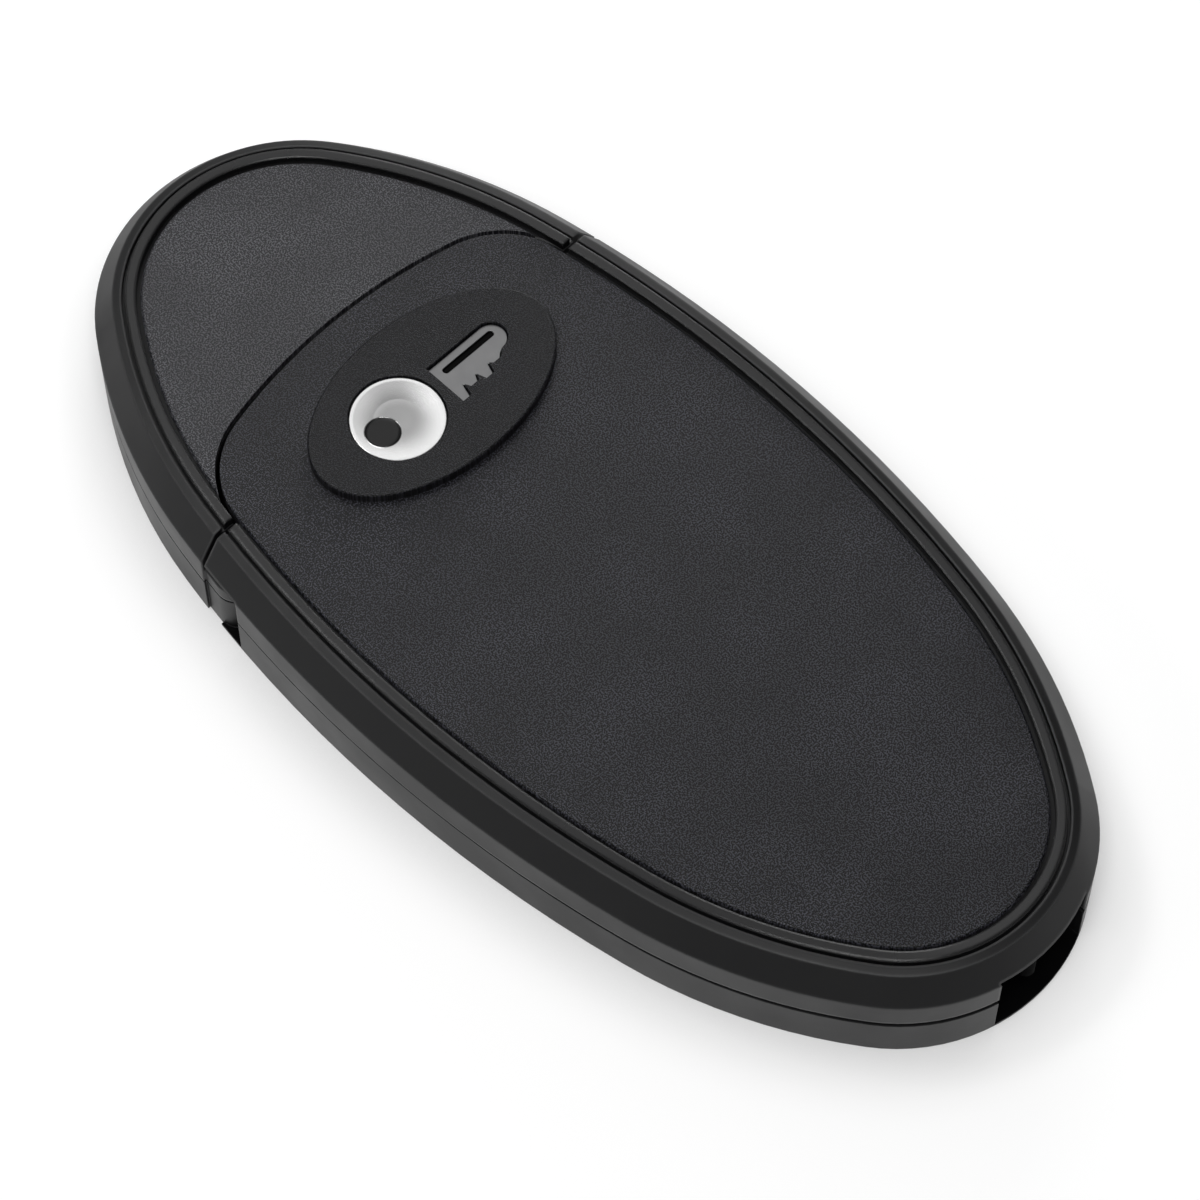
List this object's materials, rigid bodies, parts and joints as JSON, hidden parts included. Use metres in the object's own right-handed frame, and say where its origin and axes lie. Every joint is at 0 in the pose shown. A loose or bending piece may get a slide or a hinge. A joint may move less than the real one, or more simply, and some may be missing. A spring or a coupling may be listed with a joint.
{
  "type": "magnetic key holder box",
  "caption": "Flat oval black key box with a fixed head, a hinged lid with a rounded tongue, grained panels, a raised key badge and magnets in its back.",
  "frame": {"origin": "middle of the case's length and width, on the plane of its flat back", "axes": "+X from the fixed head to the lid's free tip, +Y across the case, +Z out of the lid's face"},
  "size_m": [0.12, 0.057, 0.0129],
  "materials": {
    "case": "satin",
    "trim": "smooth",
    "grain": "fine leather grain",
    "badge": "satin",
    "silver": "silver coated",
    "button": "smooth",
    "ferrite": "matte",
    "steel": "plated"
  },
  "bodies": {
    "case": {"base_tray": "case", "head_cover": "case", "head_trim_ring": "trim", "head_panel": "grain", "head_magnet": "ferrite", "head_keeper": "steel", "tip_magnet": "ferrite", "tip_keeper": "steel", "head_screws": "steel"},
    "lid": {"lid_cover": "case", "lid_trim_ring": "trim", "lid_panel": "grain", "badge_plate": "badge", "badge_bow": "silver", "badge_blade": "silver", "bow_button": "button", "hinge_pin_left": "steel", "hinge_pin_right": "steel", "catch_stud": "case"}
  },
  "joints": [
    {"name": "lid_hinge", "type": "hinge", "parent": "case", "child": "lid", "pos_m": [-0.022, 0, 0.0103], "axis": [0, -1, 0], "range_deg": [0, 40]}
  ]
}
